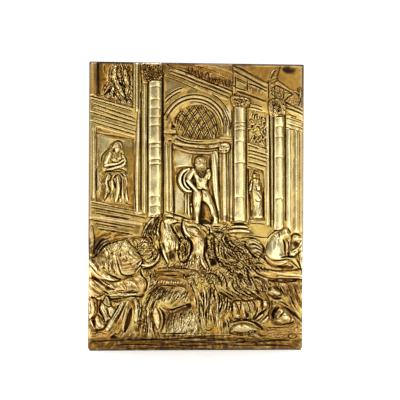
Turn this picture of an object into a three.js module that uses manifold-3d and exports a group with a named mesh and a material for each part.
import * as THREE from 'three';
import { mergeVertices } from 'three/addons/utils/BufferGeometryUtils.js';
import Module from 'manifold-3d';

// A cast relief plaque: a palace front with columns and an arched niche,
// above a fountain of rocks and sea horses. All sizes are millimetres.
// While it is modelled, X runs across the sheet, Y up it and Z out of it, with Z = 0 the flat back
// and the sheet's middle at X = Y = 0. The finished body is turned at the end: Z is up, relief to -Y.

const sheet = { width: 150, height: 200, corner: 2 };
// Heights above the flat back, from the deepest recess to the highest rock.
const level = {
  back: 0,
  root: 1.8,
  niche: 2.4,
  slot: 2.8,
  panel: 3.0,
  sky: 3.6,
  wall: 4.4,
  bed: 5.6,
  shaft: 7.0,
  top: 9.4,
  clear: 20,
};
const left = -sheet.width / 2;
const right = sheet.width / 2;
const foot = -sheet.height / 2;
const head = sheet.height / 2;

const wasm = await Module();
wasm.setup();

// One closed solid from a simple shape, its corners shared.
function solid(geometry) {
  const bare = geometry.clone();
  bare.deleteAttribute('normal');
  bare.deleteAttribute('uv');
  const merged = mergeVertices(bare, 1e-4);
  const corners = merged.index.array;
  const kept = [];
  for (let i = 0; i < corners.length; i += 3) {
    const [a, b, c] = corners.slice(i, i + 3);
    if (a !== b && b !== c && c !== a) kept.push(a, b, c);
  }
  const mesh = new wasm.Mesh({
    numProp: 3,
    vertProperties: merged.attributes.position.array,
    triVerts: new Uint32Array(kept),
  });
  return new wasm.Manifold(mesh);
}

const joined = (solids) => solids.reduce((all, one) => all.add(one));
const flatPoints = (outline) => outline.map(([x, y]) => new THREE.Vector2(x, y));

// A prism on an outline, from one height above the back to another.
function slab(outline, from, to) {
  const shape = new THREE.Shape(flatPoints(outline));
  const geometry = new THREE.ExtrudeGeometry(shape, { depth: to - from, bevelEnabled: false });
  return solid(geometry.translate(0, 0, from));
}

const block = (x0, x1, y0, y1, from, to) => slab([[x0, y0], [x1, y0], [x1, y1], [x0, y1]], from, to);

const moundRoot = level.panel - 1;

// A swelling shape on a smooth closed outline: its sides lean in to its middle as they rise.
function mound(outline, top, crown = 0.5, samples = 1.34) {
  const guides = outline.map(([x, y]) => new THREE.Vector3(x, y, 0));
  const count = Math.round(outline.length * samples);
  const ring = new THREE.CatmullRomCurve3(guides, true).getPoints(count).slice(0, -1);
  const shape = new THREE.Shape(ring.map((p) => new THREE.Vector2(p.x, p.y)));
  const geometry = new THREE.ExtrudeGeometry(shape, { depth: 1, steps: 2, bevelEnabled: false });
  const middle = new THREE.Box2().setFromPoints(shape.getPoints()).getCenter(new THREE.Vector2());
  const place = geometry.attributes.position;
  for (let i = 0; i < place.count; i += 1) {
    const rise = (place.getZ(i) * Math.PI) / 2;
    const share = THREE.MathUtils.lerp(crown, 1, Math.cos(rise));
    const x = middle.x + (place.getX(i) - middle.x) * share;
    const y = middle.y + (place.getY(i) - middle.y) * share;
    place.setXYZ(i, x, y, moundRoot + (top - moundRoot) * Math.sin(rise));
  }
  return solid(geometry).intersect(bounds);
}

// A round form along a bent line in the sheet, with its own radius at each point and short pointed ends.
function limb(points, radii, out, sides = 5) {
  const line = points.map(([x, y]) => new THREE.Vector2(x, y));
  const last = line.length - 1;
  const headings = line.map((p, i) => {
    const next = line[Math.min(i + 1, last)];
    const before = line[Math.max(i - 1, 0)];
    return next.clone().sub(before).normalize();
  });
  const stations = [
    line[0].clone().addScaledVector(headings[0], -radii[0]),
    ...line,
    line[last].clone().addScaledVector(headings[last], radii[last]),
  ];
  const profile = [[0, 0], ...radii.map((r, i) => [r, i + 1]), [0, last + 2]];
  const geometry = new THREE.LatheGeometry(flatPoints(profile), sides);
  const place = geometry.attributes.position;
  for (let i = 0; i < place.count; i += 1) {
    const station = Math.round(place.getY(i));
    const heading = headings[THREE.MathUtils.clamp(station - 1, 0, last)];
    const across = place.getX(i);
    const x = stations[station].x + heading.y * across;
    const y = stations[station].y - heading.x * across;
    place.setXYZ(i, x, y, out + place.getZ(i));
  }
  return solid(geometry);
}

const bone = (a, b, ra, rb, out, sides) => limb([a, b], [ra, rb], out, sides);

function dome(x, y, rx, ry, rise, out) {
  const geometry = new THREE.SphereGeometry(1, 7, 4);
  geometry.rotateX(Math.PI / 2);
  return solid(geometry.scale(rx, ry, rise).translate(x, y, out));
}

// A straight moulding with sloping sides, between two points.
function bar([ax, ay], [bx, by], width, top) {
  const length = Math.hypot(bx - ax, by - ay);
  const low = width / 2;
  const high = width / 5;
  const section = [[-low, level.root], [low, level.root], [high, top], [-high, top]];
  const shape = new THREE.Shape(flatPoints(section));
  const geometry = new THREE.ExtrudeGeometry(shape, { depth: length, bevelEnabled: false });
  geometry.rotateX(Math.PI / 2).translate(0, length, 0);
  geometry.rotateZ(Math.atan2(by - ay, bx - ax) - Math.PI / 2);
  return solid(geometry.translate(ax, ay, 0));
}

// A band between two arcs of an ellipse, given by its middle, its two half widths and its thickness.
function arch({ x, y, rx, ry, thick, from = 0, to = 180, steps = 12 }, top) {
  const outline = [];
  for (let i = 0; i <= steps; i += 1) {
    const t = THREE.MathUtils.degToRad(from + ((to - from) * i) / steps);
    outline.push([x + rx * Math.cos(t), y + ry * Math.sin(t)]);
  }
  for (let i = steps; i >= 0; i -= 1) {
    const t = THREE.MathUtils.degToRad(from + ((to - from) * i) / steps);
    outline.push([x + (rx - thick) * Math.cos(t), y + (ry - thick) * Math.sin(t)]);
  }
  return slab(outline, level.root, top);
}

function roundedRectangle(width, height, radius) {
  const outline = [];
  for (const [sx, sy, start] of [[1, 1, 0], [-1, 1, 90], [-1, -1, 180], [1, -1, 270]]) {
    for (let i = 0; i <= 4; i += 1) {
      const t = THREE.MathUtils.degToRad(start + i * 22.5);
      const cx = sx * (width / 2 - radius);
      const cy = sy * (height / 2 - radius);
      outline.push([cx + radius * Math.cos(t), cy + radius * Math.sin(t)]);
    }
  }
  return outline;
}

const sheetOutline = roundedRectangle(sheet.width, sheet.height, sheet.corner);
const bounds = slab(sheetOutline, level.back, level.top);
const ridgeOfRoof = [[24, head], [28, 98.5], [50, 87.5], [56, 90], [61, 84], [66, 80.5], [right, 79.5]];

const shoreline = [
  [left, -20], [-36, -25], [-31, -10], [-20, -5], [6, -11],
  [26, -18], [48, -20], [54, -16], [right, -14],
];

// The sky lies lowest, then the palace wall, and the bed of the fountain stands in front of both.
function wall() {
  const sill = [[left, foot], [right, foot]];
  const front = slab([...sill, ...ridgeOfRoof.toReversed(), [left, head]], level.back, level.wall);
  const bed = slab([...sill, ...shoreline.toReversed()], level.back, level.bed);
  return joined([slab(sheetOutline, level.back, level.sky), front, bed]);
}

const panels = {
  upperLeft: [[-70, 76.5], [-44.6, 69], [-44.6, head], [-70, head]],
  lowerLeft: [[-70, 3.5], [-44, -2.5], [-44, 47.5], [-70, 54.5]],
  upperRight: [[35.6, 44.5], [48, 41.5], [48, 63.5], [35.6, 67]],
  lowerRight: [[37.5, -9.2], [47.6, -10.2], [47.6, 23], [45.5, 26], [35.6, 28.6], [35.6, 5]],
};
const niche = { x0: -16.6, x1: 15.8, y0: -12, y1: 41 };
const halfDome = { x: -0.8, y: 53.5, radius: 16.6, spring: 46.6, rim: level.wall + 0.6, flatness: 0.16 };
const slots = [
  { x: -39.2, y0: -2, y1: 88, width: 1.5 },
  { x: -34.8, y0: -4, y1: 86, width: 1.1 },
  { x: -24.2, y0: -5, y1: 92, width: 1.5 },
  { x: 25.3, y0: -9, y1: 50, width: 1.1 },
  { x: 33.8, y0: -10, y1: 69, width: 1.1 },
  { x: 51.2, y0: -12, y1: 64, width: 1.7 },
  { x: 61.9, y0: -9, y1: 64, width: 1.3 },
];

const belowTheDome = () => block(left, right, foot, halfDome.spring, level.back, level.clear);

// Panels, niche and half dome are sunk into the wall, and dark slots part the columns.
function recesses() {
  const sunk = Object.values(panels).map((shape) => slab(shape, level.panel, level.top));
  sunk.push(block(niche.x0, niche.x1, niche.y0, niche.y1, level.niche, level.top));
  const hollow = new THREE.SphereGeometry(halfDome.radius, 18, 10);
  hollow.rotateX(Math.PI / 2).scale(1, 1, halfDome.flatness);
  hollow.translate(halfDome.x, halfDome.y, halfDome.rim);
  sunk.push(solid(hollow).subtract(belowTheDome()));
  for (const { x, y0, y1, width } of slots) {
    sunk.push(block(x - width / 2, x + width / 2, y0, y1, level.slot, level.top));
  }
  return joined(sunk);
}

// Level lines of the left bay run down to one far point, so each has its own slope.
const farPoint = { x: 499, y: -112 };
function towardsFarPoint(y, x0, x1, width, top) {
  const slope = (farPoint.y - y) / (farPoint.x - left);
  return bar([x0, y + slope * (x0 - left)], [x1, y + slope * (x1 - left)], width, top);
}

function leftMouldings() {
  const cornice = { ends: [74.6, 68.9, 66.2, 62, 57.4], to: -41.5, width: 2.1, top: 5.5 };
  const base = { ends: [2.3, -1.6], to: -43, width: 2.3, top: 5.8 };
  const steps = { ends: [-7.6, -12.4, -17.8], to: -37, width: 2.3, top: 5.8 };
  const lines = [cornice, base, steps].flatMap(({ ends, to, width, top }) => (
    ends.map((y) => towardsFarPoint(y, left, to, width, top))
  ));
  return joined(lines);
}

function entablature() {
  const rows = [
    { from: [-23.5, 98.2], to: [25, 80.6], width: 2.0, top: 5.9 },
    { from: [-23.5, 95.2], to: [25, 77.9], width: 1.9, top: 5.5 },
    { from: [-23.5, 91.6], to: [25, 75.0], width: 2.4, top: 5.2 },
    { from: [-4, 98.8], to: [26, 88.4], width: 1.8, top: 5.6 },
    { from: [24, 97.4], to: [50, 85.2], width: 2.4, top: 6.2 },
    { from: [27, 82], to: [50, 74.4], width: 1.9, top: 5.6 },
    { from: [35, 75], to: [50, 70.4], width: 1.8, top: 5.3 },
    { from: [35, 71.4], to: [48, 67.6], width: 1.6, top: 5.2 },
    { from: [55.6, 87.4], to: [67, 80.6], width: 1.8, top: 5.6 },
    { from: [61, 74.6], to: [67, 79.4], width: 1.5, top: 5.3 },
    { from: [61, 73], to: [74.5, 67.2], width: 2.0, top: 5.8 },
    { from: [61.5, 69.4], to: [74.5, 64.4], width: 1.6, top: 5.4 },
    { from: [35.6, 41.6], to: [50, 37.8], width: 1.7, top: 5.5 },
    { from: [35.6, 38.4], to: [50, 35.2], width: 1.2, top: 5.3 },
    { from: [35.6, 36.3], to: [50, 32.8], width: 1.2, top: 5.3 },
    { from: [35.6, 33.2], to: [50, 29.6], width: 1.9, top: 5.5 },
    { from: [36, -13.4], to: [52, -15.2], width: 2.2, top: 5.6 },
    { from: [36, -17.6], to: [51, -19.6], width: 2.2, top: 5.8 },
  ];
  return joined(rows.map(({ from, to, width, top }) => bar(from, to, width, top)));
}

function uprights() {
  const strips = [
    { x: -73.4, y0: 4, y1: 56, width: 2.2, top: 5.0 },
    { x: -70.8, y0: 5, y1: 53, width: 1.4, top: 5.4 },
    { x: -72.8, y0: 77, y1: 99, width: 3.2, top: 5.2 },
    { x: -42.2, y0: -3, y1: 99, width: 2.6, top: 6.0 },
    { x: -37, y0: -4, y1: 86, width: 2.6, top: 5.0 },
    { x: -21.6, y0: -3, y1: 44, width: 3.6, top: 5.0 },
    { x: -18.9, y0: -3, y1: 43, width: 1.6, top: 5.6 },
    { x: 11.8, y0: 6, y1: 35, width: 4.8, top: 4.6 },
    { x: 18.6, y0: -10, y1: 38, width: 5.2, top: 6.0 },
    { x: 23.2, y0: -9, y1: 40, width: 2.2, top: 5.0 },
    { x: 49.2, y0: -10, y1: 66, width: 2.0, top: 5.0 },
    { x: 52.6, y0: -12, y1: 63, width: 1.1, top: 5.2 },
    { x: 54.2, y0: 76, y1: 83, width: 1.2, top: 5.4 },
    { x: 60.6, y0: 76, y1: 82, width: 1.2, top: 5.4 },
    { x: 50.2, y0: 75, y1: 87, width: 1.4, top: 5.4 },
    { x: 26, y0: 81, y1: 95, width: 1.6, top: 5.4 },
    { x: 35, y0: 81, y1: 90, width: 1.2, top: 5.2 },
    { x: 64.4, y0: -14, y1: 54, width: 2.4, top: 5.8 },
    { x: 69.4, y0: -16, y1: 54, width: 2.0, top: 5.8 },
  ];
  return joined(strips.map(({ x, y0, y1, width, top }) => bar([x, y0], [x, y1], width, top)));
}

const columns = [
  { x: -29.4, y0: -9, y1: 86, radius: 4.8, capital: { x: -32, y0: 86, y1: 99, width: 13 } },
  { x: 29.9, y0: -10, y1: 70, radius: 4.0, capital: { x: 30, y0: 70, y1: 78, width: 11 } },
  { x: 57.3, y0: -16, y1: 63, radius: 3.7, capital: { x: 56, y0: 63, y1: 74.5, width: 11.5 } },
];

const taper = 0.94;

function column({ x, y0, y1, radius, capital }) {
  const shaft = new THREE.CylinderGeometry(radius * taper, radius, y1 - y0, 12);
  shaft.scale(1, 1, (level.shaft - level.niche) / radius);
  shaft.translate(x, (y0 + y1) / 2, level.niche);
  return joined([solid(shaft), leafyCapital(capital)]);
}

// Two rows of small round leaves under a plain abacus.
function leafyCapital({ x, y0, y1, width }) {
  const across = 3;
  const abacus = 1.6;
  const bellShare = 0.72;
  const leafOut = 5.2;
  const leaves = [block(x - width / 2, x + width / 2, y1 - abacus, y1, level.niche, 6.6)];
  for (const [height, spread] of [[0.25, width * bellShare], [0.75, width]]) {
    for (let i = 0; i < across; i += 1) {
      const middle = x + ((i + 0.5) / across - 0.5) * spread;
      const y = y0 + height * (y1 - y0 - abacus);
      const tip = spread / across / 1.9;
      leaves.push(bone([middle, y - 1.6], [middle, y + 1.2], tip * 0.7, tip, leafOut, 4));
    }
  }
  return joined(leaves);
}

// Three stepped rings under the second column.
function columnBase({ x }) {
  const rings = [[-10.6, 4.5], [-13.6, 5], [-16.6, 6]];
  return joined(rings.map(([y, half]) => bar([x - half, y], [x + half, y], 2.4, 6.6)));
}

// Three bands of the arch above the niche.
function archBands() {
  return joined([
    arch({ x: -1.6, y: 54, rx: 26.6, ry: 28, thick: 1.6, from: 8, to: 138 }, 5.4),
    arch({ x: -1.6, y: 54, rx: 23.4, ry: 25.2, thick: 1.6, from: 4, to: 160 }, 5.6),
    arch({ x: -1.4, y: 54, rx: 20.6, ry: 21.6, thick: 1.9, from: 0, to: 170 }, 5.4),
  ]);
}

// Crossing ribs of the half dome, clipped to its rim.
function domeRibs() {
  const thick = 0.7;
  const out = 4;
  const ribs = [];
  for (const shift of [-5, 5]) {
    const x = halfDome.x + shift;
    ribs.push(bone([x - 12, 70], [x + 6, 45], thick, thick, out, 4));
    ribs.push(bone([x - 8, 45], [x + 10, 70], thick, thick, out, 4));
  }
  const rim = new THREE.CylinderGeometry(halfDome.radius, halfDome.radius, level.clear, 14);
  rim.rotateX(Math.PI / 2).translate(halfDome.x, halfDome.y, 0);
  return joined(ribs).intersect(solid(rim)).subtract(belowTheDome());
}

// The cornice that follows the hollow of the niche, sagging in the middle.
function nicheCornice() {
  const sag = { x: 1, rx: 19, thick: 1.5, from: 190, to: 350, steps: 8 };
  return joined([
    arch({ ...sag, y: 49.6, ry: 4.6 }, 5.4),
    arch({ ...sag, y: 47.0, ry: 6.0, thick: 2.4 }, 5.9),
    arch({ ...sag, y: 43.0, ry: 6.2, thick: 1.6 }, 5.0),
    block(-23.6, -15, 48.4, 53.6, level.niche, 5.8),
    block(-23, -16.2, 43.4, 47.6, level.niche, 6.4),
    block(15.4, 24.6, 44.4, 47.8, level.niche, 6.2),
    dome(18.4, 41, 4, 3, 2, 4.8),
  ]);
}

// The sea god stands in the niche, his weight on one leg and his cloak behind him.
function seaGod() {
  return joined([
    dome(2.3, 30.6, 3.8, 4.4, 3.4, 3.8),
    dome(3, 24.2, 3, 4.6, 2.6, 4.4),
    mound([[-4, 25], [1, 27], [7, 25], [7, 19], [5.6, 13], [1, 12.6], [-1.4, 18]], 6.6),
    mound([[0, 13], [7, 12.4], [8.6, 8], [5, 5], [-2, 4.4], [-2.6, 8.6]], 6.4),
    limb([[-3, 24.6], [-6, 18], [-1.4, 11.4]], [1.8, 1.6, 1.3], 5.2),
    limb([[7.2, 24], [8, 19], [6.8, 13]], [1.5, 1.3, 1.2], 4.0),
    limb([[0, 7], [-0.8, -1], [0.4, -11]], [3, 2.3, 1.6], 4.4),
    limb([[6, 8], [9.6, 0], [13.4, -10]], [3, 2.3, 1.7], 4.2),
    limb([[-3, 26], [-9.4, 24.6], [-11.8, 19], [-9.6, 13.4], [-6, 10.4]], [1, 1.5, 1.6, 1.5, 1.2], 4.2),
    limb([[-5, 9.6], [-6.6, 2], [-5.4, -7]], [1.4, 1.8, 1.2], 3.6),
  ]);
}

// The veiled woman of the left bay, her hands together and her dress in straight folds.
function veiledWoman() {
  const folds = [
    [[-62, 22], [-64, 5]], [[-60.2, 21], [-61.4, 12]], [[-58.6, 18], [-58.8, 5]],
    [[-55, 20], [-55.6, 4]], [[-51.6, 19], [-52, 5]],
  ];
  return joined([
    dome(-56, 40.6, 3.6, 4.4, 2.8, 3.8),
    mound([[-64, 36], [-58, 37.6], [-51, 35], [-49.6, 29], [-52, 25.6], [-60, 25.4], [-65, 28]], 6.2),
    limb([[-63, 33], [-62.6, 27.8], [-55.6, 28.4]], [2, 1.8, 1.3], 5),
    limb([[-51.4, 33], [-51, 29.4], [-56.6, 27]], [1.6, 1.5, 1.2], 5),
    limb([[-64, 24.4], [-57, 25.4], [-49.6, 23]], [1, 1.5, 1], 4.6),
    ...folds.map(([waist, hem]) => bone(waist, hem, 1.6, 1.6, 3.8)),
  ]);
}

// The small jar bearer of the right bay stands on a ledge.
function jarBearer() {
  return joined([
    dome(40.6, 20.6, 2.2, 3, 2.4, 3.6),
    mound([[38, 17.6], [43.6, 17.6], [45.4, 12], [44.6, 6], [38.4, 6], [37, 12]], 5.6),
    dome(43.2, 13.4, 1.5, 1.9, 1.6, 5),
    mound([[39, 7], [45, 7], [45.8, -2], [45.4, -7.4], [40, -7.4], [39.6, -1]], 5.4),
    bar([38.6, -8.8], [47, -9.2], 1.6, 5.2),
  ]);
}

// Small figures of the two upper panels, as leaning rods and heads.
function panelFigures() {
  const rods = [];
  for (let i = 0; i < 5; i += 1) {
    const x = -66 + i * 4.8;
    const lean = 2.4 * Math.sin(i * 2.1);
    const waist = 86 + 2 * Math.cos(i * 1.7);
    rods.push(bone([x, 77 - i * 0.9], [x + lean, waist], 1.5, 1.1, 3.6, 4));
    rods.push(bone([x + lean, 87], [x - lean, 94], 1.2, 1.0, 3.2, 4));
  }
  for (let i = 0; i < 3; i += 1) {
    const x = 38 + i * 3.7;
    rods.push(bone([x, 47], [x + 0.4 + Math.sin(i * 2), 62 - i], 1.4, 1.2, 3.4, 4));
  }
  return joined(rods);
}

// Rocks, bowls, horses and water of the fountain, each on its own outline.
const hills = [
  {
    top: 7.4,
    outline: [
      [-75, -37], [-68, -33], [-58, -33], [-52, -40], [-53, -48], [-62, -48], [-68, -43],
      [-75, -43],
    ],
  },
  {
    top: 8.6,
    outline: [
      [-66, -29], [-58, -25], [-49, -24], [-41, -30], [-38, -38], [-42, -46], [-50, -48],
      [-54, -42], [-58, -35], [-67, -34],
    ],
  },
  {
    top: 8.8,
    outline: [
      [-70, -47], [-60, -49], [-48, -50], [-38, -49], [-34.6, -54], [-37, -61.6], [-48, -62.6],
      [-60, -64], [-62, -59], [-66, -53],
    ],
  },
  {
    top: 6.6,
    outline: [
      [-75, -44], [-70, -50], [-64.6, -58], [-68, -64], [-75, -66],
    ],
  },
  {
    top: 8.6,
    outline: [
      [-41, -25], [-35, -22.6], [-29, -26], [-27, -34], [-31, -42], [-37, -41], [-37, -34],
    ],
  },
  {
    top: 9.0,
    outline: [
      [-27, -6.6], [-20, -4.4], [-10, -8], [-10, -11], [-17, -12], [-12, -23], [-9, -32],
      [-10, -39], [-19, -40], [-26, -30], [-32, -20], [-33, -11],
    ],
  },
  {
    top: 7.6,
    outline: [
      [-8, -9], [3, -10], [10, -12], [19, -11], [22, -18], [12, -22], [4, -21], [-3, -18],
    ],
  },
  {
    top: 7.8,
    outline: [
      [8, -23], [19, -22], [24, -28], [36, -34], [44, -42], [30, -46], [12, -46], [7, -36],
    ],
  },
  {
    top: 8.0,
    outline: [
      [20, -18], [34, -21], [43, -22.6], [47, -30], [44, -37], [36, -31], [26, -29],
    ],
  },
  {
    top: 9.2,
    outline: [
      [49, -24], [53, -17.6], [63, -13.6], [67, -19], [62, -25], [63, -34], [70, -42.6],
      [58, -42], [46, -38], [47, -31],
    ],
  },
  {
    top: 7.6,
    outline: [
      [44, -45], [56, -43.6], [75, -43], [75, -51.4], [60, -51.4], [47, -50],
    ],
  },
  {
    top: 7.2,
    outline: [
      [-36, -46], [-20, -44], [0, -44], [12, -46], [10, -55], [-6, -56], [-24, -55], [-36, -56],
    ],
  },
  {
    top: 8.0,
    outline: [
      [-36, -57], [-18, -56], [-3, -60], [-4, -66], [-14, -68], [-23, -70], [-26, -88],
      [-46, -90], [-44, -74], [-38, -64],
    ],
  },
  {
    top: 7.0,
    outline: [
      [-22, -74], [-12, -72], [-2, -72], [6, -78], [8, -86], [-6, -88.6], [-22, -87],
    ],
  },
  {
    top: 7.4,
    outline: [
      [-60, -66], [-50, -66], [-52, -76], [-60, -88], [-70, -88], [-66, -80], [-60, -74],
    ],
  },
  {
    top: 7.8,
    outline: [
      [0, -57], [12, -57], [16, -66], [20, -78], [18, -88], [8, -86], [4, -74],
    ],
  },
  {
    top: 8.2,
    outline: [
      [15, -56], [27, -55], [42, -61], [50, -64], [50, -70], [43, -74], [32, -79], [24, -80],
      [19, -70],
    ],
  },
  {
    top: 7.2,
    outline: [
      [49, -54], [60, -53], [72, -54], [73, -74], [64, -69], [53, -66],
    ],
  },
  {
    top: 8.0,
    outline: [
      [24, -82], [33, -80.6], [42, -82.6], [46, -86], [36, -88.6], [25, -88],
    ],
  },
  {
    top: 9.0,
    outline: [
      [43, -78], [52, -71], [61, -69], [70, -76], [69, -81], [56, -82.6], [46, -82],
    ],
  },
];

function seaHorsesAndTritons() {
  return joined([
    limb(
      [[-8.6, -10], [-8.4, -16], [-4, -20.6], [1.6, -24.4], [3.6, -30], [2, -36], [4, -43]],
      [1.6, 1.9, 2.8, 3.3, 3.2, 3, 2.6],
      6,
    ),
    limb([[-2.4, -26.6], [-4, -33], [-7, -42]], [2, 2, 2], 5),
    limb([[-70, -34], [-68, -27], [-62, -23.4], [-54, -22.6]], [1.6, 2, 1.8, 1.2], 4.6),
    limb(
      [[67, -24], [68, -20.4], [71.4, -19.6], [73.4, -22.6], [69, -30], [66, -33]],
      [1.4, 1.4, 1.6, 1.5, 1.8, 1.6],
      5.4,
    ),
    limb(
      [[-64.6, -62], [-62, -65.6], [-66.4, -68], [-66.6, -74], [-63.6, -80]],
      [1.2, 1.8, 1.4, 1.4, 1.6],
      5.4,
    ),
    dome(13.6, -15.6, 3.4, 3, 2.4, 6.4),
    dome(-4.6, -12, 2.2, 2, 2, 6),
  ]);
}

// Locks of the manes and threads of falling water are rows of leaning rods.
const rows = [
  { count: 5, from: [-25, -8], to: [-29, -24], step: [-2, -1.6], radius: 1, out: 7.3 },
  { count: 5, from: [13, -24], to: [11, -36], step: [2.4, -1.1], radius: 0.9, out: 6.9 },
  { count: 7, from: [16, -57.6], to: [27, -64], step: [3.4, -0.5], radius: 0.9, out: 7.4 },
  { count: 6, from: [-42, -68], to: [-44, -87], step: [3, 0], radius: 1, out: 6.4 },
  { count: 6, from: [1, -60], to: [3, -84], step: [3, -1.2], radius: 1, out: 6.8 },
  { count: 7, from: [-33, -51], to: [-34, -54], step: [4.8, 0], radius: 1.3, out: 6.2 },
  { count: 4, from: [-52, -67], to: [-61, -84], step: [-2.4, 0.6], radius: 0.9, out: 6.2 },
];

function strands({ count, from, to, step, radius, out }) {
  const rods = [];
  for (let i = 0; i < count; i += 1) {
    const sway = Math.sin(i * 2.4);
    const a = [from[0] + i * step[0], from[1] + i * step[1]];
    const b = [to[0] + i * step[0] + sway, to[1] + i * step[1]];
    rods.push(bone(a, b, radius, radius * 0.8, out, 4));
  }
  return joined(rods);
}

function basinRim() {
  const steps = [[-91.4, 2.6, 5.6], [-94.4, 2.4, 6.2], [-97.6, 3.2, 6.8]];
  const coins = [[39, -87.4, 2.3, 1.3], [68.4, -90, 3, 1.8]];
  return joined([
    ...steps.map(([y, width, top]) => bar([left, y], [right, y], width, top)),
    ...coins.map(([x, y, rx, ry]) => dome(x, y, rx, ry, 1.2, 5.6)),
  ]);
}

// The mouth of the grotto under the upper bowl.
function grotto() {
  const mouth = [[-23, -71], [-14, -68.6], [-5, -65.6], [-2.6, -70], [-6, -73], [-16, -74.6]];
  return slab(mouth, level.wall, level.top + 1);
}

const carving = joined([
  leftMouldings(),
  entablature(),
  uprights(),
  ...columns.map(column),
  columnBase(columns[1]),
  archBands(),
  domeRibs(),
  nicheCornice(),
  seaGod(),
  veiledWoman(),
  jarBearer(),
  panelFigures(),
  ...hills.map(({ outline, top }) => mound(outline, top)),
  seaHorsesAndTritons(),
  ...rows.map(strands),
  basinRim(),
]);

const carved = wall().subtract(recesses()).add(carving);
const body = carved.subtract(grotto()).intersect(bounds);

function meshOf(manifold, name, material) {
  const { vertProperties, triVerts, numProp } = manifold.getMesh();
  const positions = new Float32Array((vertProperties.length / numProp) * 3);
  for (let i = 0; i < positions.length / 3; i += 1) {
    positions.set(vertProperties.subarray(i * numProp, i * numProp + 3), i * 3);
  }
  const geometry = new THREE.BufferGeometry();
  geometry.setAttribute('position', new THREE.BufferAttribute(positions, 3));
  geometry.setIndex(new THREE.BufferAttribute(new Uint32Array(triVerts), 1));
  geometry.rotateX(Math.PI / 2);
  const made = new THREE.Mesh(geometry, material);
  made.name = name;
  return made;
}

const gilding = new THREE.MeshStandardMaterial({ color: 0xc9a24a, roughness: 0.28, metalness: 1 });
const plaque = new THREE.Group();
plaque.add(meshOf(body, 'relief_plaque', gilding));

export default plaque;
